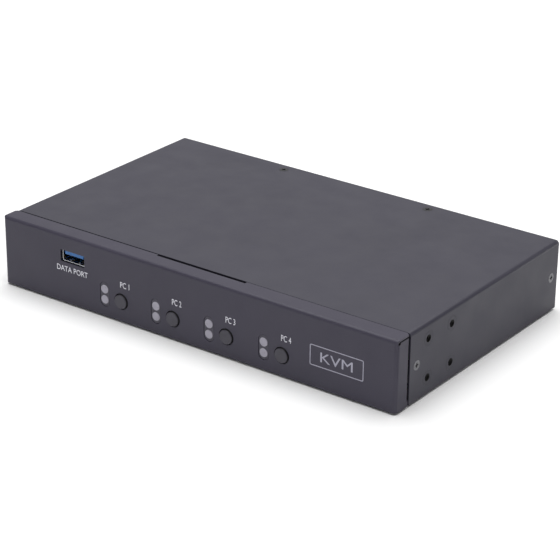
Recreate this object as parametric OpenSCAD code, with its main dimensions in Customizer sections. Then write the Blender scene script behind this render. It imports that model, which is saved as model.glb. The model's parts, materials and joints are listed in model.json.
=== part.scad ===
/* [Case] */
// Overall width of the case
case_w = 220; // [214:1:260]
// Depth from the front panel's face to the cover's rear edge
case_d = 133; // [125:1:180]
// Overall height, rubber feet included
case_h = 34.5; // [33:0.5:44]
// Thickness of the sheet steel
sheet = 0.8; // [0.6:0.1:1]
// Outer radius of the folds
bend_r = 1.8; // [1.7:0.1:2.2]
// How far the rubber feet stand proud of the base
foot_h = 1; // [0.8:0.1:2]

/* [Front panel] */
// Depth of the folded side flanges
side_flange_d = 8.3; // [7:0.1:8.5]
// Depth of the folded top flange
top_flange_d = 9.7; // [9.2:0.1:9.8]
// Distance from the front face to the top cover
cover_start = 10; // [10:0.1:11]
// Pitch of the four port groups
port_pitch = 30; // [26:0.5:34]
// Centre of the first button
first_button_x = -38.8; // [-40:0.1:-36]
// Height of the button centres
button_z = 10.7; // [10.4:0.1:11]
// Distance from each button to the lights on its left
light_offset = 9.7; // [9.2:0.1:10.4]

/* [Buttons] */
// Radius of a button cap
cap_r = 3.45; // [3.2:0.05:3.6]
// Radius of the panel's hole for a cap
cap_hole_r = 3.95; // [3.8:0.05:4.1]
// How far a cap stands out of the panel
cap_out = 0.8; // [0.5:0.1:1.2]

/* [Lights] */
// Radius of one indicator light
light_r = 2.05; // [1.8:0.05:2.1]
// Pitch of the two lights in a window
light_pitch = 5.08; // [4.8:0.02:5.2]
// Width of the round-ended window
window_w = 5.6; // [5.2:0.1:5.8]
// Height of the round-ended window
window_h = 12; // [11.6:0.1:12.4]

/* [Front USB socket] */
// Centre of the socket, left to right
front_usb_x = -67.5; // [-69:0.5:-66]
// Height of the socket's centre
front_usb_z = 24.45; // [24:0.05:25]

/* [Rack holes] */
// Pitch of the threaded holes in each side, both ways
rack_pitch = 18.3; // [16:0.1:20]
// Distance from the front face to the pattern's centre
rack_y = 33; // [32:0.5:40]
// Height of the pattern's centre
rack_z = 17.9; // [16:0.1:19]
// Radius of the threaded holes
rack_hole_r = 1.75; // [1.6:0.05:1.8]

/* [Rear sockets] */
// Centre of the first computer's group of sockets
first_group_x = -88; // [-90:0.5:-86]
// Pitch of the computers' groups
group_pitch = 32; // [31:0.5:32]

/* [Hidden] */
$fn = 48;
ports = 4;
// Small overrun that keeps cuts clear of the faces they start from
eps = 0.5;
// Air between sheets that lie against each other
play = 0.1;

// Main planes of the case
half_w = case_w / 2;
front_y = -case_d / 2;
rear_y = case_d / 2;
base_z = foot_h;
floor_z = base_z + sheet;
lid_z = case_h - sheet;
inner_x = half_w - sheet - play;

// Front panel details
slit_h = 0.6;
slit_start = bend_r + 0.05;
relief_r = 0.7;
relief_y = bend_r - 0.1;
relief_drop = 0.15;
seam_step = 0.4;
notch_x = [-24.3, 25.2];
notch_d = 1.5;
corner_cut = 1.4;
flange_foot_h = 2.8;
flange_foot_d = 0.8;
usb_cut_w = 14.4;
usb_cut_h = 5.9;
usb_cut_shift = [-0.1, -0.3];
usb_cut_r = 0.6;

// Feet
foot_r = 5;
foot_x = half_w - 16;
foot_y = case_d / 2 - 15;

// Countersunk case screws, M2.5
screw_r = 1.25;
screw_hole_r = 1.3;
head_r = 2.3;
sink_r = 2.4;
neck_r = 1.6;
screw_l = 5;
side_screw_y = [front_y + 15.3, rear_y - 5.4];
side_screw_z = 17.8;
top_screw_x = 42;
top_screw_y = rear_y - 5.1;
drive_r = 1.15;
drive_w = 0.6;
drive_d = 0.6;

// Clinch nuts behind the rack holes
nut_shank_r = 3.4;
nut_flange_r = 4.1;
nut_flange_t = 1.4;

// Chassis folds
rear_wall_y = rear_y - 0.5;
lip_h = 30;
front_tab_y = [front_y + 12.2, front_y + 18.4];
rear_lip_start = front_y + 50;
top_lip_d = 9.5;
top_lip_x = 60;
front_lip_h = 3.8;
front_lip_y = [front_y + sheet + play, front_y + 2 * sheet + play];

// Main board and the standoffs under it
board_t = 1.6;
board_z = base_z + 2.8;
board_top = board_z + board_t;
board_x = half_w - 6;
board_y = [front_y + 3.4, rear_y - 3.5];
standoff_r = 2.5;
standoff_bore_r = 1.3;
board_hole_r = 1.6;
board_screw_head_r = 2.6;
board_screw_head_h = 1.6;
board_screw_l = 3.2;
standoff_x = [-half_w + 10, 0, half_w - 10];
standoff_y = [front_y + 20, rear_y - 26];

// Small board that carries the front socket
usb_shell_w = 13.2;
usb_shell_h = 5.7;
usb_shell_t = 0.3;
usb_shell_back = 0.85;
usb_shell_l = 14;
usb_shell_r = 0.6;
usb_tongue_w = 11.1;
usb_tongue_t = 1.84;
usb_tongue_back = 1.3;
usb_tongue_rise = 1.27;
usb_back_l = 4;
usb_board_top = front_usb_z - usb_shell_h / 2 - play;
usb_board_z = usb_board_top - board_t;
usb_board_w = 26;
usb_board_y = [front_y + 3, front_y + 33];
spacer_x = 10;
spacer_y = [front_y + 18, front_y + 29];
header_w = 10;
header_y = [front_y + 21, front_y + 26];

// Tactile switches and the caps on them
switch_y = [front_y + 5, front_y + 9.5];
switch_w = 7;
switch_top = 3.4;
plunger_r = 1.7;
plunger_y = [front_y + 2.3, front_y + 6.4];
plunger_well = 2.1;
cap_edge = 0.3;
collar_r = 4.25;
collar_y = [front_y + sheet + 1.1, front_y + sheet + 1.9];
skirt_r = 2.7;
skirt_end = front_y + 4.4;
skirt_bore_r = 1.75;

// Two-light indicator blocks
light_z = 11.65;
block_y = [front_y + 1.2, front_y + 10];
block_w = 6;
block_top = 6.6;
nose_back = 0.15;
nose_play = 0.2;
light_l = 7;
light_bore_play = 0.05;
light_bore_l = 8;

// Rear sockets
socket_out = cap_out;
socket_y = rear_y + socket_out;
cut_play = 0.3;
group_video_x = -6.9;
group_usb_x = 8.6;
video_w = 15;
video_h = 5.5;
video_t = 0.4;
video_l = 11.5;
video_back_l = 3;
video_tongue_w = 11.2;
video_tongue_t = 1.3;
video_tongue_back = 1.2;
usb_b_w = 12;
usb_b_h = 10.9;
usb_b_t = 0.35;
usb_b_l = 16;
usb_b_mouth_w = 8.5;
usb_b_mouth_h = 7.8;
usb_b_mouth_cut = 1.6;
usb_b_mouth_l = 9.5;
usb_b_post_w = 5.6;
usb_b_post_h = 3.2;
usb_b_post_back = 1;
console_video_x = 33;
console_usb_x = 54;
stack_w = 14.4;
stack_h = 15.6;
stack_t = 0.4;
stack_l = 17;
stack_mouth_w = 12.6;
stack_mouth_h = 5.2;
stack_mouth_z = [3.9, 11.7];
stack_mouth_l = 12.5;
stack_bar_side = (stack_w - stack_mouth_w) / 2;
audio_x = 71;
audio_w = 7.4;
audio_h = 6.4;
audio_l = 13;
audio_nose_r = 2.9;
audio_bore_r = 1.8;
audio_bore_l = 12;
dc_x = 90;
dc_w = 9;
dc_h = 11;
dc_l = 14;
dc_bore_r = 2.9;
dc_bore_l = 9.5;
dc_pin_r = 1.05;
dc_pin_back = 0.9;

// Chips and heat sink
main_chip = [22, 22, 1.4];
hub_chip = [10, 10, 1.1];
chip_y = -8;
hub_chip_x = [-60, 52];
sink_w = 34;
sink_base_t = 2;
sink_fin_h = 7;
sink_fins = 9;
sink_fin_t = 1.2;

function button_x(i) = first_button_x + port_pitch * (i - 1);
function light_x(i) = button_x(i) - light_offset;
function group_x(i) = first_group_x + group_pitch * (i - 1);

// Box between two corners
module span(x, y, z) {
    translate([x[0], y[0], z[0]]) cube([x[1] - x[0], y[1] - y[0], z[1] - z[0]]);
}

// Cylinder along Y between two depths
module rod_y(r, y, x, z) {
    translate([x, y[0], z]) rotate([-90, 0, 0]) cylinder(r = r, h = y[1] - y[0]);
}

// Outline in X and Z, extruded between two depths
module prism_y(y) {
    translate([0, y[1], 0]) rotate([90, 0, 0]) linear_extrude(y[1] - y[0]) children();
}

// Rectangle with round corners, about the origin
module round_rect(w, h, r) {
    square([w - 2 * r, h], center = true);
    square([w, h - 2 * r], center = true);
    for (sx = [-1, 1], sz = [-1, 1])
        translate([sx * (w / 2 - r), sz * (h / 2 - r)]) circle(r = r);
}

// Slot with full round ends, upright, about the origin
module upright_slot(w, h) {
    square([w, h - w], center = true);
    for (s = [-1, 1]) translate([0, s * (h - w) / 2]) circle(r = w / 2);
}

// Block with folded front edges at the top and both sides and an open bottom, shrunk by an inset
module folded_block(inset, depth) {
    r = bend_r - inset;
    y = [front_y + inset, front_y + depth];
    top = case_h - inset;
    bottom = inset > 0 ? base_z - eps : base_z;
    intersection() {
        rotate([90, 0, 90]) translate([0, 0, -half_w]) linear_extrude(case_w) {
            translate([y[0], bottom]) square([y[1] - y[0], top - r - bottom]);
            translate([y[0] + r, bottom]) square([y[1] - y[0] - r, top - bottom]);
            translate([y[0] + r, top - r]) circle(r = r);
        }
        translate([0, 0, bottom]) linear_extrude(case_h) {
            translate([-half_w + inset, y[0] + r]) square([2 * (half_w - inset), y[1] - y[0] - r]);
            translate([-half_w + inset + r, y[0]]) square([2 * (half_w - inset - r), y[1] - y[0]]);
            for (s = [-1, 1]) translate([s * (half_w - inset - r), y[0] + r]) circle(r = r);
        }
    }
}

// Outline of the cover: flat bottom, round top edges
module cover_outline(inset) {
    r = bend_r - inset;
    x = half_w - inset;
    z = case_h - inset;
    translate([-x, base_z - (inset > 0 ? eps : 0)])
        square([2 * x, z - r - base_z + (inset > 0 ? eps : 0)]);
    translate([-x + r, z - r - eps]) square([2 * (x - r), r + eps]);
    for (s = [-1, 1]) translate([s * (x - r), z - r]) circle(r = r);
}

// Cross recess in a screw head whose top is at the origin
module cross_recess() {
    for (a = [0, 90]) rotate([0, 0, a])
        translate([-drive_r, -drive_w / 2, -drive_d]) cube([2 * drive_r, drive_w, drive_d + eps]);
}

// Countersunk screw, head at the origin, pointing down
module flat_screw() {
    difference() {
        union() {
            translate([0, 0, -sheet]) cylinder(r1 = screw_r, r2 = head_r, h = sheet);
            translate([0, 0, -screw_l]) cylinder(r = screw_r, h = screw_l - sheet / 2);
        }
        cross_recess();
    }
}

// Countersunk hole through a sheet, outer face at the origin
module sink_hole() {
    translate([0, 0, -sheet]) cylinder(r1 = neck_r, r2 = sink_r, h = sheet);
    translate([0, 0, -sheet - eps]) cylinder(r = neck_r, h = sheet + 2 * eps);
    cylinder(r = sink_r, h = eps);
}

// Children placed at each side screw, their +Z pointing outward
module at_side_screws() {
    for (s = [-1, 1], y = side_screw_y)
        translate([s * half_w, y, side_screw_z]) rotate([0, s * 90, 0]) children();
}

// Children placed at each top screw
module at_top_screws() {
    for (s = [-1, 1]) translate([s * top_screw_x, top_screw_y, case_h]) children();
}

// Children placed at each rack hole, their +Z pointing outward
module at_rack_holes() {
    for (s = [-1, 1], dy = [-1, 1], dz = [-1, 1])
        translate([s * half_w, front_y + rack_y + dy * rack_pitch / 2, rack_z + dz * rack_pitch / 2])
            rotate([0, s * 90, 0]) children();
}

// Children placed at each board standoff, at the chassis floor
module at_standoffs() {
    for (x = standoff_x, y = standoff_y) translate([x, y, floor_z]) children();
}

// Children placed at each spacer of the small board, at the main board's top
module at_spacers() {
    for (s = [-1, 1], y = spacer_y)
        translate([front_usb_x + s * spacer_x, y, board_top]) children();
}

module top_cover() {
    color([0.24, 0.23, 0.27]) difference() {
        prism_y([front_y + cover_start, rear_y]) cover_outline(0);
        prism_y([front_y + cover_start - eps, rear_y + eps]) cover_outline(sheet);
        at_side_screws() sink_hole();
        at_top_screws() sink_hole();
        at_rack_holes() translate([0, 0, -sheet - eps]) cylinder(r = nut_shank_r, h = sheet + 2 * eps);
    }
}

module front_panel() {
    right = [notch_x[1], half_w + eps];
    left = [-half_w - eps, notch_x[0]];
    over = [lid_z - eps, case_h + eps];
    edge = front_y + top_flange_d;
    color([0.2, 0.19, 0.22]) difference() {
        folded_block(0, top_flange_d);
        folded_block(sheet, top_flange_d + eps);
        span([-half_w - eps, half_w + eps], [front_y + side_flange_d, edge + eps],
             [base_z + flange_foot_h, lid_z]);
        span([-half_w - eps, half_w + eps], [front_y + side_flange_d + flange_foot_d, edge + eps],
             [base_z - eps, base_z + flange_foot_h]);
        for (s = [-1, 1]) {
            translate([s * half_w, 0, 0]) {
                span([-2 * sheet, 2 * sheet], [front_y + slit_start, edge], [lid_z - slit_h, lid_z]);
                translate([-2 * sheet, front_y + relief_y, lid_z - relief_r - relief_drop])
                    rotate([0, 90, 0]) cylinder(r = relief_r, h = 4 * sheet);
                translate([0, edge, lid_z + sheet / 2]) rotate([0, 0, 45])
                    cube([corner_cut * sqrt(2), corner_cut * sqrt(2), 1.5 * sheet], center = true);
            }
        }
        span(left, [edge - seam_step, edge + eps], over);
        span(notch_x, [edge - notch_d, edge + eps], over);
        translate([front_usb_x + usb_cut_shift[0], 0, front_usb_z + usb_cut_shift[1]])
            prism_y([front_y - eps, front_y + 2]) round_rect(usb_cut_w, usb_cut_h, usb_cut_r);
        for (i = [1 : ports]) {
            translate([light_x(i), 0, light_z])
                prism_y([front_y - eps, front_y + 2]) upright_slot(window_w, window_h);
            rod_y(cap_hole_r, [front_y - eps, front_y + 2], button_x(i), button_z);
        }
    }
}

// Openings of the rear wall, one round each socket
module rear_cuts() {
    wall = [rear_wall_y - sheet - eps, rear_wall_y + eps];
    p = cut_play;
    for (i = [1 : ports]) {
        translate([group_x(i) + group_video_x, 0, board_top + play + video_h / 2])
            prism_y(wall) video_outline(p);
        translate([group_x(i) + group_usb_x, 0, 0])
            span([-usb_b_w / 2 - p, usb_b_w / 2 + p], wall, [board_top - p, board_top + usb_b_h + p]);
    }
    translate([console_video_x, 0, board_top + play + video_h / 2]) prism_y(wall) video_outline(p);
    translate([console_usb_x, 0, 0])
        span([-stack_w / 2 - p, stack_w / 2 + p], wall, [board_top - p, board_top + stack_h + p]);
    rod_y(audio_nose_r + p, wall, audio_x, board_top + audio_h / 2);
    translate([dc_x, 0, 0]) span([-dc_w / 2 - p, dc_w / 2 + p], wall, [board_top - p, board_top + dc_h + p]);
}

module chassis() {
    lid_under = lid_z - play;
    color([0.62, 0.63, 0.65]) difference() {
        union() {
            span([-inner_x, inner_x], [front_lip_y[0], rear_wall_y], [base_z, floor_z]);
            span([-inner_x, inner_x], front_lip_y, [base_z, base_z + front_lip_h]);
            span([-inner_x, inner_x], [rear_wall_y - sheet, rear_wall_y], [base_z, lid_under]);
            span([-top_lip_x, top_lip_x], [rear_wall_y - top_lip_d, rear_wall_y],
                 [lid_under - sheet, lid_under]);
            for (s = [0, 1]) mirror([s, 0, 0]) {
                span([inner_x - sheet, inner_x], front_tab_y, [base_z, lip_h]);
                span([inner_x - sheet, inner_x], [rear_lip_start, rear_wall_y], [base_z, lip_h]);
            }
        }
        rear_cuts();
        at_side_screws() translate([0, 0, -screw_l]) cylinder(r = screw_hole_r, h = screw_l);
        at_top_screws() translate([0, 0, -screw_l]) cylinder(r = screw_hole_r, h = screw_l);
    }
}

module rubber_feet() {
    color([0.08, 0.08, 0.08]) for (sx = [-1, 1], sy = [-1, 1])
        translate([sx * foot_x, sy * foot_y, 0]) cylinder(r = foot_r, h = foot_h);
}

module top_screws() {
    color([0.12, 0.12, 0.13]) at_top_screws() flat_screw();
}

module side_screws() {
    color([0.7, 0.7, 0.72]) at_side_screws() flat_screw();
}

module clinch_nuts() {
    color([0.3, 0.29, 0.32]) at_rack_holes() difference() {
        union() {
            translate([0, 0, -sheet]) cylinder(r = nut_shank_r - play / 2, h = sheet);
            translate([0, 0, -sheet - nut_flange_t]) cylinder(r = nut_flange_r, h = nut_flange_t);
        }
        translate([0, 0, -sheet - nut_flange_t - eps])
            cylinder(r = rack_hole_r, h = sheet + nut_flange_t + 2 * eps);
    }
}

module board_standoffs() {
    h = board_z - floor_z;
    color([0.8, 0.7, 0.35]) at_standoffs() difference() {
        cylinder(r = standoff_r, h = h);
        translate([0, 0, -eps]) cylinder(r = standoff_bore_r, h = h + 2 * eps);
    }
}

// Pan-head screw whose head sits at the origin, pointing down
module pan_screw() {
    difference() {
        union() {
            cylinder(r = board_screw_head_r, h = board_screw_head_h);
            translate([0, 0, -board_screw_l]) cylinder(r = screw_r, h = board_screw_l + eps);
        }
        translate([0, 0, board_screw_head_h]) cross_recess();
    }
}

module board_screws() {
    color([0.75, 0.75, 0.78]) {
        at_standoffs() translate([0, 0, board_top - floor_z]) pan_screw();
        at_spacers() translate([0, 0, usb_board_top - board_top]) pan_screw();
    }
}

module button_cap(i) {
    x = button_x(i);
    color([0.24, 0.23, 0.26]) difference() {
        union() {
            translate([x, front_y - cap_out, button_z]) rotate([-90, 0, 0])
                cylinder(r1 = cap_r - cap_edge, r2 = cap_r, h = cap_edge);
            rod_y(cap_r, [front_y - cap_out + cap_edge, collar_y[0]], x, button_z);
            rod_y(collar_r, collar_y, x, button_z);
            rod_y(skirt_r, [collar_y[1], skirt_end], x, button_z);
        }
        rod_y(skirt_bore_r, [plunger_y[0] - play, skirt_end + eps], x, button_z);
    }
}

module switch_plunger(i) {
    color([0.1, 0.1, 0.1]) rod_y(plunger_r, plunger_y, button_x(i), button_z);
}

module tact_switch(i) {
    x = button_x(i);
    color([0.15, 0.15, 0.16]) difference() {
        span([x - switch_w / 2, x + switch_w / 2], switch_y, [board_top, button_z + switch_top]);
        rod_y(plunger_r + play, [switch_y[0] - eps, switch_y[0] + plunger_well], x, button_z);
    }
}

module light_block(i) {
    x = light_x(i);
    color([0.05, 0.05, 0.05]) difference() {
        union() {
            span([x - block_w / 2, x + block_w / 2], block_y, [board_top, light_z + block_top]);
            translate([x, 0, light_z]) prism_y([front_y + nose_back, block_y[0] + eps])
                upright_slot(window_w - 2 * nose_play, window_h - 2 * nose_play);
        }
        for (s = [-1, 1])
            rod_y(light_r + light_bore_play, [front_y, front_y + light_bore_l], x,
                  light_z + s * light_pitch / 2);
    }
}

module light_pair(i) {
    color([0.92, 0.92, 0.94]) for (s = [-1, 1])
        rod_y(light_r, [front_y, front_y + light_l], light_x(i), light_z + s * light_pitch / 2);
}

module front_usb_shell() {
    y = [front_y + usb_shell_back, front_y + usb_shell_l];
    t = usb_shell_t;
    color([0.75, 0.75, 0.77]) translate([front_usb_x, 0, front_usb_z]) difference() {
        prism_y(y) round_rect(usb_shell_w, usb_shell_h, usb_shell_r);
        prism_y([y[0] - eps, y[1] + eps])
            round_rect(usb_shell_w - 2 * t, usb_shell_h - 2 * t, usb_shell_r - t / 2);
    }
}

module front_usb_tongue() {
    back = front_y + usb_shell_l - usb_back_l;
    w = usb_shell_w / 2 - usb_shell_t - play;
    h = usb_shell_h / 2 - usb_shell_t - play;
    color([0.1, 0.25, 0.75]) translate([front_usb_x, 0, front_usb_z]) {
        span([-usb_tongue_w / 2, usb_tongue_w / 2], [front_y + usb_tongue_back, back + eps],
             [usb_tongue_rise - usb_tongue_t / 2, usb_tongue_rise + usb_tongue_t / 2]);
        span([-w, w], [back, front_y + usb_shell_l], [-h, h]);
    }
}

module usb_board() {
    x = usb_board_w / 2;
    color([0.05, 0.3, 0.15]) difference() {
        span([front_usb_x - x, front_usb_x + x], usb_board_y, [usb_board_z, usb_board_top]);
        at_spacers() cylinder(r = board_hole_r, h = usb_board_top - board_top + eps);
    }
}

module usb_board_spacers() {
    h = usb_board_z - board_top;
    color([0.8, 0.7, 0.35]) at_spacers() difference() {
        cylinder(r = standoff_r, h = h);
        translate([0, 0, h / 2]) cylinder(r = standoff_bore_r, h = h / 2 + eps);
    }
}

module link_header() {
    x = header_w / 2;
    color([0.08, 0.08, 0.08])
        span([front_usb_x - x, front_usb_x + x], header_y, [board_top, usb_board_z]);
}

module main_board() {
    color([0.05, 0.3, 0.15]) difference() {
        span([-board_x, board_x], board_y, [board_z, board_top]);
        at_standoffs() cylinder(r = board_hole_r, h = board_top);
    }
}

// Chip standing on the main board
module chip(x, size) {
    translate([x - size[0] / 2, chip_y - size[1] / 2, board_top]) cube(size);
}

module board_chips() {
    color([0.12, 0.12, 0.13]) {
        chip(0, main_chip);
        for (x = hub_chip_x) chip(x, hub_chip);
    }
}

module heat_sink() {
    z = board_top + main_chip[2];
    pitch = (sink_w - sink_fin_t) / (sink_fins - 1);
    color([0.6, 0.6, 0.62]) translate([-sink_w / 2, chip_y - sink_w / 2, z]) {
        cube([sink_w, sink_w, sink_base_t]);
        for (k = [0 : sink_fins - 1])
            translate([k * pitch, 0, 0]) cube([sink_fin_t, sink_w, sink_base_t + sink_fin_h]);
    }
}

// Outline of a video socket, wide at the top, grown by a margin
module video_outline(grow) {
    x = video_w / 2 + grow;
    z = video_h / 2 + grow;
    low_x = x - 1.9;
    low_z = -z + 1.9;
    polygon([[-x, z], [x, z], [x, low_z], [low_x, -z], [-low_x, -z], [-x, low_z]]);
}

module video_shell(x) {
    y = [socket_y - video_l, socket_y];
    color([0.75, 0.75, 0.77]) translate([x, 0, board_top + play + video_h / 2]) difference() {
        prism_y(y) video_outline(0);
        prism_y([y[0] - eps, y[1] + eps]) video_outline(-video_t);
    }
}

module video_tongue(x) {
    y = [socket_y - video_l, socket_y - video_tongue_back];
    color([0.05, 0.05, 0.05]) translate([x, 0, board_top + play + video_h / 2]) {
        prism_y([y[0], y[0] + video_back_l]) video_outline(-video_t - play);
        span([-video_tongue_w / 2, video_tongue_w / 2], [y[0] + video_back_l - eps, y[1]],
             [0, video_tongue_t]);
    }
}

module pc_usb_shell(i) {
    y = [socket_y - usb_b_l, socket_y];
    x = usb_b_w / 2;
    t = usb_b_t;
    color([0.75, 0.75, 0.77]) translate([group_x(i) + group_usb_x, 0, board_top]) difference() {
        span([-x, x], y, [0, usb_b_h]);
        span([-x + t, x - t], [y[0] - eps, y[1] + eps], [t, usb_b_h - t]);
    }
}

module pc_usb_core(i) {
    y = [socket_y - usb_b_l, socket_y - play];
    x = usb_b_w / 2 - usb_b_t - play / 2;
    z = usb_b_h / 2 - usb_b_t - play / 2;
    mx = usb_b_mouth_w / 2;
    mz = usb_b_mouth_h / 2;
    cut = usb_b_mouth_cut;
    color([0.06, 0.06, 0.06]) translate([group_x(i) + group_usb_x, 0, board_top + usb_b_h / 2]) {
        difference() {
            span([-x, x], y, [-z, z]);
            prism_y([socket_y - usb_b_mouth_l, socket_y + eps])
                polygon([[-mx, -mz], [mx, -mz], [mx, mz - cut], [mx - cut, mz],
                         [-mx + cut, mz], [-mx, mz - cut]]);
        }
        span([-usb_b_post_w / 2, usb_b_post_w / 2],
             [socket_y - usb_b_mouth_l - eps, socket_y - usb_b_post_back],
             [-usb_b_post_h / 2, usb_b_post_h / 2]);
    }
}

module console_usb_shell() {
    y = [socket_y - stack_l, socket_y];
    x = stack_w / 2;
    color([0.75, 0.75, 0.77]) translate([console_usb_x, 0, board_top]) difference() {
        span([-x, x], y, [0, stack_h]);
        for (z = stack_mouth_z) span([-stack_mouth_w / 2, stack_mouth_w / 2],
            [socket_y - stack_mouth_l, socket_y + eps], [z - stack_mouth_h / 2, z + stack_mouth_h / 2]);
        span([-x + stack_t, x - stack_t], [y[0] - eps, socket_y - stack_mouth_l + eps],
             [stack_t, stack_h - stack_t]);
    }
}

module console_usb_tongues() {
    y = [socket_y - stack_l, socket_y - stack_mouth_l];
    x = stack_w / 2 - stack_t - play;
    color([0.1, 0.25, 0.75]) translate([console_usb_x, 0, board_top]) {
        span([-x, x], y, [stack_t + play, stack_h - stack_t - play]);
        for (z = stack_mouth_z) translate([0, 0, z + usb_tongue_rise])
            span([-usb_tongue_w / 2, usb_tongue_w / 2], [y[1] - eps, socket_y - usb_tongue_back - eps],
                 [-usb_tongue_t / 2, usb_tongue_t / 2]);
    }
}

module audio_jack() {
    z = board_top + audio_h / 2;
    x = audio_w / 2;
    color([0.15, 0.55, 0.3]) difference() {
        union() {
            span([audio_x - x, audio_x + x], [socket_y - audio_l - 2, rear_wall_y - sheet - play],
                 [board_top, board_top + audio_h]);
            rod_y(audio_nose_r, [rear_wall_y - 2, socket_y], audio_x, z);
        }
        rod_y(audio_bore_r, [socket_y - audio_bore_l, socket_y + eps], audio_x, z);
    }
}

module dc_jack() {
    z = board_top + dc_h / 2;
    x = dc_w / 2;
    color([0.08, 0.08, 0.08]) difference() {
        span([dc_x - x, dc_x + x], [socket_y - dc_l, socket_y], [board_top, board_top + dc_h]);
        rod_y(dc_bore_r, [socket_y - dc_bore_l, socket_y + eps], dc_x, z);
    }
}

module dc_pin() {
    color([0.8, 0.8, 0.82])
        rod_y(dc_pin_r, [socket_y - dc_bore_l, socket_y - dc_pin_back], dc_x, board_top + dc_h / 2);
}

top_cover();
front_panel();
chassis();
rubber_feet();
top_screws();
side_screws();
clinch_nuts();
board_standoffs();
board_screws();
for (i = [1 : ports]) {
    button_cap(i);
    switch_plunger(i);
    tact_switch(i);
    light_block(i);
    light_pair(i);
    video_shell(group_x(i) + group_video_x);
    video_tongue(group_x(i) + group_video_x);
    pc_usb_shell(i);
    pc_usb_core(i);
}
front_usb_shell();
front_usb_tongue();
usb_board();
usb_board_spacers();
link_header();
main_board();
board_chips();
heat_sink();
video_shell(console_video_x);  // console_video_shell
video_tongue(console_video_x);  // console_video_tongue
console_usb_shell();
console_usb_tongues();
audio_jack();
dc_jack();
dc_pin();
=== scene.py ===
"""KVM switch: materials, printed marks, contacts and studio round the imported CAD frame."""
import json
import math

import bpy
import bmesh
from mathutils import Matrix, Vector


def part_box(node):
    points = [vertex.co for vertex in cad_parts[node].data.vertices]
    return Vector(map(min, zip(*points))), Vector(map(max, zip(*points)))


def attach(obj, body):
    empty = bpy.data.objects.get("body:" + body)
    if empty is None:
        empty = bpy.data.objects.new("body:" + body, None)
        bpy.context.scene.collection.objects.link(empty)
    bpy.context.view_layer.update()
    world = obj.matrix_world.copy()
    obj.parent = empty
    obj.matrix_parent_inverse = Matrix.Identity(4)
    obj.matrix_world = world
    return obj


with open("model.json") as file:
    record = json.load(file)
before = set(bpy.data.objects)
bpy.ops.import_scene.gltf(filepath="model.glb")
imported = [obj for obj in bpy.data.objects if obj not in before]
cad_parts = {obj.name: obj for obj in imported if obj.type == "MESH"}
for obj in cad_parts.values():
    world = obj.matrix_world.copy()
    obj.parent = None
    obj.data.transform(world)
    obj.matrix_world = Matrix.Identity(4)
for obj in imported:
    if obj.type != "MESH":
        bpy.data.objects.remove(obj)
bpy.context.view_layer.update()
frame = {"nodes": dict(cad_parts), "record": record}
MM = 0.001

# Camera, as the photograph shows the object
AZIMUTH = math.radians(36.22)
ELEVATION = math.radians(24.26)
ROLL = math.radians(0.554)
DISTANCE = 0.9766
AIM = Vector((0.00281, -0.00208, 0.00984))
LENS = 135.44

# Places that the CAD boxes give
FRONT_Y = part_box("front_panel")[0].y
REAR_WALL_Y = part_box("chassis")[1].y
LEFT_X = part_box("front_panel")[0].x
SIDE_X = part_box("front_panel")[1].x
PORTS = 4
FRONT = 1
REAR = -1

# Places on the case that the painted shade and the threads go by
SHEET = 0.8 * MM
BASE_Z = 1.0 * MM
FOLD_INSIDE = 0.9 * MM
SLIT_ZONE_Z = (31.5 * MM, 33.75 * MM)
NUT_R = 4.1 * MM
BORE_R = 1.75 * MM
BORE_ZONE_R = 1.9 * MM

# A USB type A tongue and its contacts; block length, strip thickness and bow are guesses
TONGUE_BLOCK_L = 4.2 * MM
TONGUE_RISE = 1.27 * MM
TONGUE_HALF_T = 0.92 * MM
CONTACTS_X = (-3.5, -1.0, 1.0, 3.5)
CONTACT_T = 0.16 * MM
CONTACT_BOW = -0.25 * MM

# Print on the front and rear
PORT_PRINT_SHIFT = 2.35 * MM
PORT_PRINT_HALF_W = 2.65 * MM
PORT_PRINT_Z = (17.6 * MM, 20.5 * MM)
SOCKET_PRINT_SHIFT = -0.3 * MM
SOCKET_PRINT_HALF_W = 9.3 * MM
SOCKET_PRINT_Z = (16.7 * MM, 19.4 * MM)
BADGE_X = (LEFT_X + 176 * MM, LEFT_X + 203.6 * MM)
BADGE_Z = (11.1 * MM, 20.9 * MM)
BADGE_LINE = 0.4 * MM
BADGE_R = 0.8 * MM
BADGE_MARGIN = (5.5 * MM, 2.6 * MM)
REAR_PRINT_Z = (24.6 * MM, 26.8 * MM)
REAR_LETTER_HALF_W = 0.95 * MM

# Studio; a softbox is a name, a place, the side of its square and a power
FLOOR_HALF = 6
WORLD_STRENGTH = 0.33
SENSOR_W = 36
LIGHT_TARGET = Vector((0, 0, 0.02))
SOFTBOXES = (
    ("top_softbox", (-0.1, 0.1, 1.6), 1.8, 33.0),
    ("front_softbox", (-0.4, -1.5, 0.8), 0.9, 0.6),
    ("back_softbox", (-0.95, 1.3, 0.75), 1.2, 2.1),
)


def centre(node):
    low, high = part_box(node)
    return (low + high) / 2


# ---------------------------------------------------------------- materials

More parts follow.
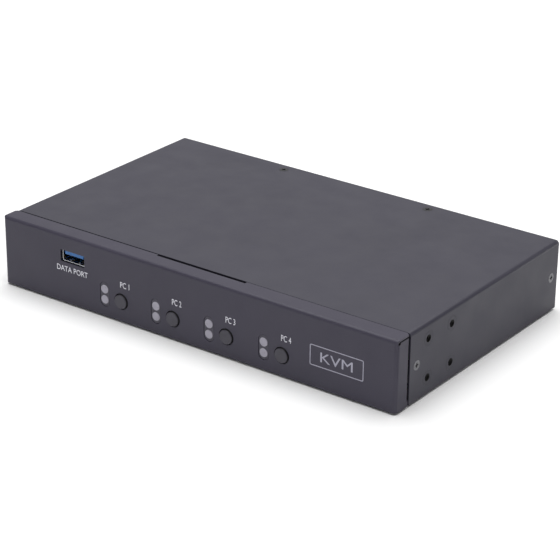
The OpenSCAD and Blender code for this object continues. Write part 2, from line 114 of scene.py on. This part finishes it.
class Shader:
    """A material's node tree, with short names for the nodes it is built from."""

    def __init__(self, name, colour, roughness, metallic=0.0):
        self.material = bpy.data.materials.new(name)
        self.material.use_nodes = True
        self.tree = self.material.node_tree
        self.bsdf = self.tree.nodes["Principled BSDF"]
        self.set(self.bsdf, "Base Color", (*colour, 1))
        self.set(self.bsdf, "Roughness", roughness)
        self.set(self.bsdf, "Metallic", metallic)
        self.place = self.tree.nodes.new("ShaderNodeTexCoord").outputs["Object"]

    def set(self, node, socket, value):
        node.inputs[socket].default_value = value

    def link(self, out, node, socket):
        self.tree.links.new(out, node.inputs[socket])

    def stretched(self, scale):
        mapping = self.tree.nodes.new("ShaderNodeMapping")
        self.set(mapping, "Scale", scale)
        self.link(self.place, mapping, "Vector")
        return mapping.outputs["Vector"]

    def noise(self, scale, detail=3.0, vector=None):
        node = self.tree.nodes.new("ShaderNodeTexNoise")
        self.set(node, "Scale", scale)
        self.set(node, "Detail", detail)
        self.link(vector or self.place, node, "Vector")
        return node.outputs["Fac"]

    def cells(self, scale, output="Color"):
        node = self.tree.nodes.new("ShaderNodeTexVoronoi")
        self.set(node, "Scale", scale)
        self.link(self.place, node, "Vector")
        return node.outputs[output]

    def ramp(self, value, low, high, start=0.3, end=0.7):
        node = self.tree.nodes.new("ShaderNodeMapRange")
        for socket, number in (("From Min", start), ("From Max", end), ("To Min", low), ("To Max", high)):
            self.set(node, socket, number)
        self.link(value, node, "Value")
        return node.outputs["Result"]

    def mix(self, factor, first, second):
        node = self.tree.nodes.new("ShaderNodeMix")
        node.data_type = "RGBA"
        for socket, value in ((6, first), (7, second)):
            if isinstance(value, tuple):
                node.inputs[socket].default_value = (*value, 1)
            else:
                self.tree.links.new(value, node.inputs[socket])
        self.tree.links.new(factor, node.inputs[0])
        return node.outputs[2]

    def colour(self, value):
        self.link(value, self.bsdf, "Base Color")

    def roughness(self, value):
        self.link(value, self.bsdf, "Roughness")

    def bump(self, height, strength, distance):
        node = self.tree.nodes.new("ShaderNodeBump")
        self.set(node, "Strength", strength)
        self.set(node, "Distance", distance)
        self.link(height, node, "Height")
        if self.bsdf.inputs["Normal"].is_linked:
            self.link(self.bsdf.inputs["Normal"].links[0].from_socket, node, "Normal")
        self.link(node.outputs["Normal"], self.bsdf, "Normal")


def shade(colour, gain):
    return tuple(c * gain for c in colour)


def powder_coat(name, colour):
    """Fine-grained satin powder coat: orange peel, pigment speckle and slow tone drift."""
    s = Shader(name, colour, 0.5)
    drift = s.mix(s.ramp(s.noise(28, 2), 0, 1), shade(colour, 0.95), shade(colour, 1.05))
    speck = s.ramp(s.noise(5200, 2), 0, 1, 0.55, 0.72)
    s.colour(s.mix(speck, drift, shade(colour, 1.35)))
    s.roughness(s.ramp(s.noise(60, 4), 0.42, 0.52))
    s.bump(s.noise(2600, 4), 0.16, 0.05 * MM)
    s.bump(s.noise(700, 2), 0.08, 0.08 * MM)
    s.set(s.bsdf, "Specular IOR Level", 0.35)
    return s.material


def plated(name, colour, roughness=0.28, streak=(900, 60, 900)):
    """Plated or drawn metal with fine streaks and a little tarnish."""
    s = Shader(name, colour, roughness, 1.0)
    lines = s.noise(1, 4, s.stretched(streak))
    s.colour(s.mix(s.ramp(s.noise(140, 3), 0, 1), shade(colour, 0.86), colour))
    s.roughness(s.ramp(lines, roughness * 0.75, roughness * 1.4))
    s.bump(lines, 0.12, 0.03 * MM)
    return s.material


def zinc_sheet(name, colour):
    """Zinc-plated sheet with a faint spangle and rolling lines."""
    s = Shader(name, colour, 0.38, 1.0)
    spangle = s.ramp(s.cells(180), 0, 1, 0.0, 1.0)
    s.colour(s.mix(spangle, shade(colour, 0.8), colour))
    s.roughness(s.ramp(s.noise(1, 3, s.stretched((40, 900, 900))), 0.3, 0.48))
    s.bump(s.noise(900, 3), 0.1, 0.04 * MM)
    return s.material


def moulded(name, colour, roughness=0.45, grain=1800, depth=0.25):
    """Moulded plastic or epoxy with spark-eroded grain and slow tone drift."""
    s = Shader(name, colour, roughness)
    s.colour(s.mix(s.ramp(s.noise(220, 3), 0, 1), shade(colour, 0.88), shade(colour, 1.12)))
    s.roughness(s.ramp(s.noise(420, 3), roughness * 0.85, roughness * 1.15))
    s.bump(s.noise(grain, 3), depth, 0.04 * MM)
    return s.material


def rubber(name, colour):
    """Matt rubber with a dusty, uneven face."""
    s = Shader(name, colour, 0.8)
    s.colour(s.mix(s.ramp(s.noise(350, 5), 0, 1), colour, shade(colour, 1.9)))
    s.roughness(s.ramp(s.noise(500, 2), 0.7, 0.92))
    s.bump(s.noise(1500, 4), 0.4, 0.08 * MM)
    return s.material


def circuit_board(name, colour):
    """Solder mask over traces: cells give the copper areas under the mask."""
    s = Shader(name, colour, 0.3)
    copper = s.ramp(s.cells(240, "Distance"), 0, 1, 0.28, 0.32)
    s.colour(s.mix(copper, shade(colour, 1.7), colour))
    s.roughness(s.ramp(s.noise(300, 3), 0.25, 0.4))
    s.bump(copper, 0.3, 0.05 * MM)
    s.set(s.bsdf, "Coat Weight", 0.4)
    return s.material


def lens_plastic(name, colour):
    """Diffusing plastic of an unlit light: milky body, smooth face, faint flow marks."""
    s = Shader(name, colour, 0.3)
    s.colour(s.mix(s.ramp(s.noise(600, 3), 0, 1), shade(colour, 0.93), colour))
    s.roughness(s.ramp(s.noise(500, 2), 0.25, 0.38))
    s.bump(s.noise(900, 2), 0.08, 0.04 * MM)
    s.set(s.bsdf, "Subsurface Weight", 0.35)
    s.set(s.bsdf, "Subsurface Radius", (1.2 * MM, 1.2 * MM, 1.3 * MM))
    s.set(s.bsdf, "Subsurface Scale", 1.0)
    return s.material


def screen_print(name, colour):
    """Screen-printed ink with slightly uneven cover."""
    s = Shader(name, colour, 0.55)
    s.colour(s.mix(s.ramp(s.noise(1600, 3), 0, 1), shade(colour, 0.84), colour))
    s.roughness(s.ramp(s.noise(900, 2), 0.5, 0.65))
    s.bump(s.noise(2400, 2), 0.15, 0.02 * MM)
    return s.material


COVER = (0.037, 0.035, 0.051)
# Painted light: the panel's coat is the cover's dark grey, set a little lighter to make up for the weak
# light on the front face.
PANEL_PAINTED_LIGHTER = (0.041, 0.037, 0.058)
FINISHES = {
    "cover_paint": powder_coat("cover_paint", COVER),
    "panel_paint": powder_coat("panel_paint", PANEL_PAINTED_LIGHTER),
    "zinc_steel": zinc_sheet("zinc_steel", (0.6, 0.61, 0.63)),
    "foot_rubber": rubber("foot_rubber", (0.02, 0.02, 0.02)),
    "black_screw": plated("black_screw", (0.06, 0.06, 0.065), 0.35),
    "plated_screw": plated("plated_screw", (0.16, 0.16, 0.17), 0.32),
    "nut_steel": powder_coat("nut_steel", shade(COVER, 0.9)),
    "brass": plated("brass", (0.75, 0.58, 0.28), 0.25),
    "socket_metal": plated("socket_metal", (0.74, 0.74, 0.76), 0.22),
    "blue_plastic": moulded("blue_plastic", (0.015, 0.14, 0.42), 0.3, depth=0.1),
    "circuit_board": circuit_board("circuit_board", (0.01, 0.1, 0.04)),
    "black_plastic": moulded("black_plastic", (0.02, 0.02, 0.021), 0.4),
    "chip_epoxy": moulded("chip_epoxy", (0.03, 0.03, 0.032), 0.5),
    "sink_aluminium": plated("sink_aluminium", (0.6, 0.6, 0.62), 0.4),
    "green_plastic": moulded("green_plastic", (0.04, 0.32, 0.1), 0.35),
    "pin_metal": plated("pin_metal", (0.8, 0.8, 0.82), 0.2),
    "button_plastic": moulded("button_plastic", (0.04, 0.037, 0.052), 0.45),
    "switch_plastic": moulded("switch_plastic", (0.03, 0.03, 0.032), 0.5),
    # Painted light: the light block's dark grey plastic is set a little lighter than the panel to offset
    # the shade in its recess.
    "light_block_plastic": moulded("light_block_plastic", (0.046, 0.042, 0.062), 0.5),
    "light_lens": lens_plastic("light_lens", (0.36, 0.345, 0.41)),
}
INK = screen_print("white_ink", (0.85, 0.85, 0.92))
BADGE_INK = screen_print("badge_ink", (0.42, 0.41, 0.5))
REAR_INK = screen_print("black_ink", (0.015, 0.015, 0.017))
# Painted shade: a near-black finish standing in for the shade inside bores, threads, slit walls and round
# the button caps.
PAINTED_SHADE = moulded("painted_shade", (0.006, 0.006, 0.006), 0.6)
GOLD = plated("contact_gold", (0.85, 0.62, 0.25), 0.2)


def finish_frame():
    """Gives every CAD node its finish, and breaks the sharp edges of those that show."""
    slots = {entry["node"]: entry["material_slot"] for entry in frame["record"]["subparts"]}
    soft_edges = {"top_cover": 0.06, "front_panel": 0.06, "chassis": 0.08, "front_usb_shell": 0.06,
                  "front_usb_tongue": 0.12, "rubber_feet": 0.2, "console_usb_shell": 0.06,
                  "console_usb_tongues": 0.12, "dc_jack": 0.2, "audio_jack": 0.12}
    for i in range(1, PORTS + 1):
        soft_edges[f"button_cap_{i}"] = 0.08
        soft_edges[f"light_pair_{i}"] = 0.2
        soft_edges[f"light_block_{i}"] = 0.08
        soft_edges[f"pc_usb_core_{i}"] = 0.12
        soft_edges[f"pc_video_tongue_{i}"] = 0.08
    for name, node in frame["nodes"].items():
        node.data.materials.clear()
        node.data.materials.append(FINISHES[slots[name]])
        if name in soft_edges:
            weld = node.modifiers.new("weld", "WELD")
            weld.merge_threshold = 0.001 * MM
            bevel = node.modifiers.new("edges", "BEVEL")
            bevel.width = soft_edges[name] * MM
            bevel.segments = 2
            bevel.limit_method = "ANGLE"
            bevel.angle_limit = math.radians(40)
            bevel.harden_normals = True
            bevel.material = 0  # a bevel takes the first finish, not the dark one beside it


def second_finish(node, material, chosen):
    """Gives the faces of a CAD node that chosen(centre, normal) picks another material."""
    mesh = frame["nodes"][node].data
    mesh.materials.append(material)
    for face in mesh.polygons:
        if chosen(face.center, face.normal):
            face.material_index = 1


def bore_axes():
    """(y, z) of each threaded hole's axis."""
    low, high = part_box("clinch_nuts")
    return [(y, z) for y in (low.y + NUT_R, high.y - NUT_R) for z in (low.z + NUT_R, high.z - NUT_R)]


def painted_shade_and_tongue_block():
    """Painted shade: near-black bores, slit walls, cap side walls and a black underside standing in for
    shade; and a black block behind the blue tongue.
    """
    axes = bore_axes()
    # Painted shade: the bore walls of the clinch nuts are coloured near-black for the shade inside the
    # holes.
    second_finish("clinch_nuts", PAINTED_SHADE, lambda c, n: abs(n.x) < 0.5 and any(
        math.hypot(c.y - y, c.z - z) < BORE_ZONE_R for y, z in axes))
    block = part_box("front_usb_tongue")[1].y - TONGUE_BLOCK_L
    second_finish("front_usb_tongue", FINISHES["black_plastic"], lambda c, n: c.y > block)
    for i in range(1, PORTS + 1):
        # Painted shade: each cap's side wall and back are coloured near-black for the shade in the gap
        # round the cap.
        second_finish(f"button_cap_{i}", PAINTED_SHADE, lambda c, n: n.y > -0.5)
    # Painted shade: the chassis underside is coloured black to darken the shaded gap above the floor.
    underside_shade = FINISHES["black_plastic"]
    second_finish("chassis", underside_shade, lambda c, n: n.z < -0.9 and c.z < BASE_Z + 0.1 * MM)
    # Painted shade: the walls of the slits at the panel's two sides are coloured near-black for the shade
    # inside the slits.
    second_finish("front_panel", PAINTED_SHADE, lambda c, n: (
        abs(n.x) < 0.3 and SIDE_X - 2 * SHEET < abs(c.x) < SIDE_X - 0.01 * MM
        and c.y > FRONT_Y + FOLD_INSIDE and SLIT_ZONE_Z[0] < c.z < SLIT_ZONE_Z[1]))


# ------------------------------------------------------------------- pieces

def piece(name, mesh, material, body="case"):
    """A mesh in the row frame that rides on a body."""
    obj = bpy.data.objects.new(name, mesh)
    bpy.context.scene.collection.objects.link(obj)
    mesh.materials.clear()
    mesh.materials.append(material)
    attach(obj, body)
    return obj


def mesh_from(build):
    """A mesh made by a function that fills a bmesh."""
    bm = bmesh.new()
    build(bm)
    bmesh.ops.recalc_face_normals(bm, faces=bm.faces)
    mesh = bpy.data.meshes.new("piece")
    bm.to_mesh(mesh)
    bm.free()
    return mesh


def sweep(bm, sections, closed=False):
    """Joins equal rings of points into a tube, capped at both ends unless closed."""
    rings = [[bm.verts.new(p) for p in section] for section in sections]
    count = len(rings[0])
    pairs = list(zip(rings, rings[1:])) + ([(rings[-1], rings[0])] if closed else [])
    for a, b in pairs:
        for k in range(count):
            n = (k + 1) % count
            bm.faces.new((a[k], a[n], b[n], b[k]))
    if not closed:
        bm.faces.new(rings[0][::-1])
        bm.faces.new(rings[-1])


def text_mesh(word, low, high, y, side):
    """A word as thin raised print, fitted to a box in X and Z, on the front or rear face."""
    curve = bpy.data.curves.new("print", "FONT")
    curve.body = word
    curve.extrude = 0.02
    curve.resolution_u = 4
    source = bpy.data.objects.new("print", curve)
    bpy.context.scene.collection.objects.link(source)
    bpy.context.view_layer.update()
    depsgraph = bpy.context.evaluated_depsgraph_get()
    mesh = bpy.data.meshes.new_from_object(source.evaluated_get(depsgraph))
    bpy.data.objects.remove(source)
    xs = [v.co.x for v in mesh.vertices]
    ys = [v.co.y for v in mesh.vertices]
    scale_x = (high[0] - low[0]) / (max(xs) - min(xs))
    scale_z = (high[1] - low[1]) / (max(ys) - min(ys))
    middle = ((low[0] + high[0]) / 2, (low[1] + high[1]) / 2)
    for v in mesh.vertices:
        x = (v.co.x - (max(xs) + min(xs)) / 2) * scale_x * side + middle[0]
        z = (v.co.y - (max(ys) + min(ys)) / 2) * scale_z + middle[1]
        v.co = (x, y - side * (v.co.z + 0.01) * MM, z)
    return mesh


def centred_text(word, x, half_w, z, y, side):
    """A word as thin raised print, centred on x, between two heights."""
    return text_mesh(word, (x - half_w, z[0]), (x + half_w, z[1]), y, side)


def outline_mesh(low, high, line, radius, y):
    """A thin raised ring in the shape of a round-cornered rectangle on the front face."""
    steps = 6
    thick = 0.03 * MM

    def ring(inset, depth):
        r = max(radius - inset, 0.05 * MM)
        points = []
        for k, (sx, sz) in enumerate(((1, 1), (-1, 1), (-1, -1), (1, -1))):
            cx = (high[0] - inset - r) if sx > 0 else (low[0] + inset + r)
            cz = (high[1] - inset - r) if sz > 0 else (low[1] + inset + r)
            for j in range(steps + 1):
                a = math.pi / 2 * (k + j / steps)
                points.append((cx + r * math.cos(a), depth, cz + r * math.sin(a)))
        return points

    def build(bm):
        sweep(bm, [ring(0, y), ring(0, y - thick), ring(line, y - thick), ring(line, y)], closed=True)
    return mesh_from(build)


def print_marks():
    """Port numbers, a plain socket label and a plain badge on the front, port names at the rear."""
    for i in range(1, PORTS + 1):
        x = centre(f"button_cap_{i}").x + PORT_PRINT_SHIFT
        mesh = centred_text(f"PC {i}", x, PORT_PRINT_HALF_W, PORT_PRINT_Z, FRONT_Y, FRONT)
        piece(f"print_port_{i}", mesh, INK)
    x = centre("front_usb_shell").x + SOCKET_PRINT_SHIFT
    mesh = centred_text("DATA PORT", x, SOCKET_PRINT_HALF_W, SOCKET_PRINT_Z, FRONT_Y, FRONT)
    piece("print_socket", mesh, INK)
    low, high = (BADGE_X[0], BADGE_Z[0]), (BADGE_X[1], BADGE_Z[1])
    piece("print_badge_frame", outline_mesh(low, high, BADGE_LINE, BADGE_R, FRONT_Y), BADGE_INK)
    low = (low[0] + BADGE_MARGIN[0], low[1] + BADGE_MARGIN[1])
    high = (high[0] - BADGE_MARGIN[0], high[1] - BADGE_MARGIN[1])
    piece("print_badge_word", text_mesh("KVM", low, high, FRONT_Y, FRONT), BADGE_INK)
    names = {"pc_usb_shell_1": "PC 1", "pc_usb_shell_2": "PC 2", "pc_usb_shell_3": "PC 3",
             "pc_usb_shell_4": "PC 4", "console_usb_shell": "CONSOLE", "audio_jack": "AUDIO",
             "dc_jack": "DC IN"}
    for node, word in names.items():
        half = REAR_LETTER_HALF_W * len(word)
        mesh = centred_text(word, centre(node).x, half, REAR_PRINT_Z, REAR_WALL_Y, REAR)
        piece(f"print_{node}", mesh, REAR_INK)


def strip_mesh(x, width, z, thick, y_start, y_end, bow, lift):
    """A flat metal strip along Y that bows by lift in Z, with a rounded front end."""
    steps = 10

    def build(bm):
        sections = []
        for k in range(steps + 1):
            t = k / steps
            y = y_start + (y_end - y_start) * t
            half = width / 2 * min(1.0, 0.45 + 2.2 * t)
            rise = lift * math.sin(math.pi * t / bow) if t < bow else 0.0
            sections.append([(x - half, y, z + rise), (x + half, y, z + rise),
                             (x + half, y, z + rise + thick), (x - half, y, z + rise + thick)])
        sweep(bm, sections)
    return mesh_from(build)


def joined(meshes):
    """One mesh from several."""
    bm = bmesh.new()
    for mesh in meshes:
        bm.from_mesh(mesh)
        bpy.data.meshes.remove(mesh)
    mesh = bpy.data.meshes.new("piece")
    bm.to_mesh(mesh)
    bm.free()
    return mesh


def contacts_front():
    """Four gold contacts under the tongue of the front socket and two springs in its shell."""
    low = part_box("front_usb_tongue")[0]
    tongue_low = centre("front_usb_shell").z + TONGUE_RISE - TONGUE_HALF_T
    x = centre("front_usb_shell").x
    strips = [strip_mesh(x + dx * MM, 1.1 * MM, tongue_low - 0.14 * MM, CONTACT_T, low.y + 1.2 * MM,
                         low.y + 9 * MM, 0.6, CONTACT_BOW) for dx in CONTACTS_X]
    piece("front_usb_contacts", joined(strips), GOLD)
    shell_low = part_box("front_usb_shell")[0]
    springs = [strip_mesh(x + dx * MM, 2.2 * MM, shell_low.z + 0.36 * MM, 0.2 * MM, FRONT_Y + 2 * MM,
                          FRONT_Y + 8.5 * MM, 0.9, 0.45 * MM) for dx in (-2.6, 2.6)]
    piece("front_usb_springs", joined(springs), FINISHES["socket_metal"])


def contacts_rear():
    """Gold contacts of the rear sockets."""
    strips = []
    for i in range(1, PORTS + 1):
        c = centre(f"pc_usb_core_{i}")
        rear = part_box(f"pc_usb_core_{i}")[1].y
        for dx in (-1.25, 1.25):
            for z in (c.z + 1.6 * MM, c.z - 1.75 * MM):
                strips.append(strip_mesh(c.x + dx * MM, 1.0 * MM, z, 0.15 * MM, rear - 2.2 * MM,
                                         rear - 9 * MM, 0.5, 0.1 * MM))
    for node in [f"pc_video_shell_{i}" for i in range(1, PORTS + 1)] + ["console_video_shell"]:
        c = centre(node)
        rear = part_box(node)[1].y
        for k in range(10):
            strips.append(strip_mesh(c.x + (k - 4.5) * MM, 0.45 * MM, c.z - 0.08 * MM, 0.1 * MM,
                                     rear - 1.8 * MM, rear - 8 * MM, 0.4, 0.0))
    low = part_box("console_usb_shell")[0]
    c = centre("console_usb_shell")
    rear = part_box("console_usb_shell")[1].y
    for mouth in (3.9, 11.7):
        z = low.z + TONGUE_RISE - TONGUE_HALF_T + (mouth - 0.14) * MM
        for dx in CONTACTS_X:
            strips.append(strip_mesh(c.x + dx * MM, 1.0 * MM, z, CONTACT_T, rear - 2 * MM,
                                     rear - 10 * MM, 0.6, CONTACT_BOW))
    piece("rear_contacts", joined(strips), GOLD)


def thread_mesh(origin, outward, radius, depth):
    """Helical thread ridge on the wall of a bore along X."""
    pitch = 0.7 * MM
    height = 0.3 * MM
    per_turn = 24
    turns = depth / pitch - 1

    def build(bm):
        sections = []
        for k in range(int(per_turn * turns) + 1):
            a = 2 * math.pi * k / per_turn
            along = pitch * k / per_turn + 0.25 * MM
            radial = Vector((0, math.cos(a), math.sin(a)))
            section = []
            for dr, dx in ((0.02 * MM, -0.28 * MM), (-height, 0), (0.02 * MM, 0.28 * MM)):
                point = origin + radial * (radius + dr)
                point.x -= outward * (along + 0.3 * MM + dx)
                section.append(point)
            sections.append(section)
        sweep(bm, sections)
    return mesh_from(build)


def threads():
    """The female threads of the eight clinch nuts."""
    low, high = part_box("clinch_nuts")
    meshes = [thread_mesh(Vector((x, y, z)), outward, BORE_R, 2.0 * MM)
              for outward, x in ((1, high.x), (-1, low.x)) for y, z in bore_axes()]
    # Painted shade: the threads are coloured near-black for the shade inside the bores.
    piece("nut_threads", joined(meshes), PAINTED_SHADE)


# ------------------------------------------------------------------- studio

def studio():
    """Plain pale floor, soft lights and the camera."""
    scene = bpy.context.scene
    scene.view_settings.view_transform = "Standard"
    world = bpy.data.worlds.new("studio")
    world.use_nodes = True
    world.node_tree.nodes["Background"].inputs["Color"].default_value = (1, 1, 1, 1)
    world.node_tree.nodes["Background"].inputs["Strength"].default_value = WORLD_STRENGTH
    scene.world = world
    bm = bmesh.new()
    bmesh.ops.create_grid(bm, x_segments=1, y_segments=1, size=FLOOR_HALF)
    mesh = bpy.data.meshes.new("floor")
    bm.to_mesh(mesh)
    bm.free()
    floor = bpy.data.objects.new("floor", mesh)
    scene.collection.objects.link(floor)
    paper = Shader("paper", (0.95, 0.95, 0.95), 0.9)
    paper.roughness(paper.ramp(paper.noise(30, 2), 0.85, 0.95))
    mesh.materials.append(paper.material)
    for name, place, size, power in SOFTBOXES:
        data = bpy.data.lights.new(name, "AREA")
        data.shape = "SQUARE"
        data.size = size
        data.energy = power
        light = bpy.data.objects.new(name, data)
        light.location = place
        light.rotation_euler = (LIGHT_TARGET - Vector(place)).to_track_quat("-Z", "Y").to_euler()
        scene.collection.objects.link(light)
    back = Vector((math.sin(AZIMUTH) * math.cos(ELEVATION), -math.cos(AZIMUTH) * math.cos(ELEVATION),
                   math.sin(ELEVATION)))
    data = bpy.data.cameras.new("camera")
    data.lens = LENS
    data.sensor_width = SENSOR_W
    camera = bpy.data.objects.new("camera", data)
    turn = (-back).to_track_quat("-Z", "Y").to_matrix().to_4x4() @ Matrix.Rotation(ROLL, 4, "Z")
    camera.matrix_world = Matrix.Translation(AIM + back * DISTANCE) @ turn
    scene.collection.objects.link(camera)
    scene.camera = camera


finish_frame()
painted_shade_and_tongue_block()
print_marks()
contacts_front()
contacts_rear()
threads()
studio()
